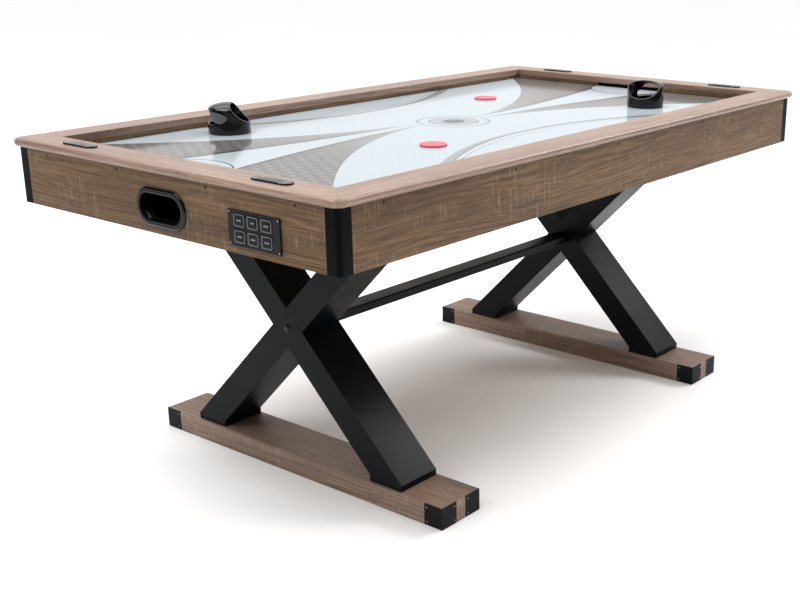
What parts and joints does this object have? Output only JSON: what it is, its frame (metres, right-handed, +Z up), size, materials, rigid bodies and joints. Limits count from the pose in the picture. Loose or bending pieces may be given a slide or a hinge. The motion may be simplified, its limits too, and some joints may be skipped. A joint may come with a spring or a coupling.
{
  "type": "air hockey table",
  "caption": "Air hockey table with an oak-grain cabinet on black crossed legs, with pushers, pucks and end score displays.",
  "frame": {"origin": "on the floor under the middle of the table", "axes": "+X along the length, the control panel's end at -X; +Z up"},
  "size_m": [1.829, 1.016, 0.8246],
  "materials": {
    "oak": "satin oak-grain laminate",
    "oak_rail": "satin oak-grain laminate, paler",
    "black_paint": "satin black paint",
    "black_plastic": "satin moulded black",
    "panel_black": "matte black with grey outlines",
    "gloss_black": "glossy moulded black",
    "playfield": "glossy printed laminate",
    "puck_red": "satin red",
    "felt": "short felt",
    "display": "smoked clear cover over a silver bed",
    "board_green": "circuit board lacquer",
    "mdf": "raw fibreboard",
    "steel": "plain steel"
  },
  "bodies": {
    "table": {"air_tray": "mdf", "apron_end_left": "oak", "apron_end_right": "oak", "apron_side_back": "oak", "apron_side_front": "oak", "blower_case": "black_plastic", "blower_motor": "steel", "control_board": "board_green", "control_panel": "panel_black", "corner_post_left_back": "black_plastic", "corner_post_left_front": "black_plastic", "corner_post_right_back": "black_plastic", "corner_post_right_front": "black_plastic", "cross_bolt_left": "steel", "cross_bolt_right": "steel", "foot_beam_left": "oak", "foot_beam_right": "oak", "foot_plate_left_back_inner": "black_plastic", "foot_plate_left_back_outer": "black_plastic", "foot_plate_left_front_inner": "black_plastic", "foot_plate_left_front_outer": "black_plastic", "foot_plate_right_back_inner": "black_plastic", "foot_plate_right_back_outer": "black_plastic", "foot_plate_right_front_inner": "black_plastic", "foot_plate_right_front_outer": "black_plastic", "leg_left_back": "black_paint", "leg_left_front": "black_paint", "leg_right_back": "black_paint", "leg_right_front": "black_paint", "playfield": "playfield", "power_inlet": "black_plastic", "puck_return_left": "black_plastic", "puck_return_right": "black_plastic", "rail_end_left": "oak_rail", "rail_end_right": "oak_rail", "rail_side_back": "oak_rail", "rail_side_front": "oak_rail", "score_display_left_back": "display", "score_display_left_front": "display", "score_display_right_back": "display", "score_display_right_front": "display", "stretcher": "black_paint", "wall_end_left": "oak", "wall_end_right": "oak", "wall_side_back": "oak", "wall_side_front": "oak"},
    "pusher_left": {"pusher_left": "gloss_black", "pusher_felt_left": "felt"},
    "pusher_right": {"pusher_right": "gloss_black", "pusher_felt_right": "felt"},
    "puck_left": {"puck_left": "puck_red"},
    "puck_right": {"puck_right": "puck_red"},
    "impeller": {"blower_impeller": "black_plastic"},
    "key_top_1": {"key_top_1": "panel_black"},
    "key_top_2": {"key_top_2": "panel_black"},
    "key_top_3": {"key_top_3": "panel_black"},
    "key_bottom_1": {"key_bottom_1": "panel_black"},
    "key_bottom_2": {"key_bottom_2": "panel_black"},
    "key_bottom_3": {"key_bottom_3": "panel_black"}
  },
  "joints": [
    {"name": "pusher_left_slide", "type": "slide", "parent": "table", "child": "pusher_left", "axis": [0, 1, 0], "range_m": [-0.693, 0.062]},
    {"name": "pusher_right_slide", "type": "slide", "parent": "table", "child": "pusher_right", "axis": [0, 1, 0], "range_m": [-0.1439, 0.6111]},
    {"name": "puck_left_glide", "type": "slide", "parent": "table", "child": "puck_left", "axis": [1, 0, 0], "range_m": [-0.0875, 0.745]},
    {"name": "puck_right_glide", "type": "slide", "parent": "table", "child": "puck_right", "axis": [1, 0, 0], "range_m": [-0.7565, 0.076]},
    {"name": "key_top_1_press", "type": "slide", "parent": "table", "child": "key_top_1", "axis": [1, 0, 0], "range_m": [0, 0.0008], "stiffness_N_per_m": 900},
    {"name": "key_top_2_press", "type": "slide", "parent": "table", "child": "key_top_2", "axis": [1, 0, 0], "range_m": [0, 0.0008], "stiffness_N_per_m": 900},
    {"name": "key_top_3_press", "type": "slide", "parent": "table", "child": "key_top_3", "axis": [1, 0, 0], "range_m": [0, 0.0008], "stiffness_N_per_m": 900},
    {"name": "key_bottom_1_press", "type": "slide", "parent": "table", "child": "key_bottom_1", "axis": [1, 0, 0], "range_m": [0, 0.0008], "stiffness_N_per_m": 900},
    {"name": "key_bottom_2_press", "type": "slide", "parent": "table", "child": "key_bottom_2", "axis": [1, 0, 0], "range_m": [0, 0.0008], "stiffness_N_per_m": 900},
    {"name": "key_bottom_3_press", "type": "slide", "parent": "table", "child": "key_bottom_3", "axis": [1, 0, 0], "range_m": [0, 0.0008], "stiffness_N_per_m": 900},
    {"name": "impeller_spin", "type": "hinge", "parent": "table", "child": "impeller", "pos_m": [0, 0, 0.652], "axis": [0, 0, 1], "continuous": true}
  ]
}
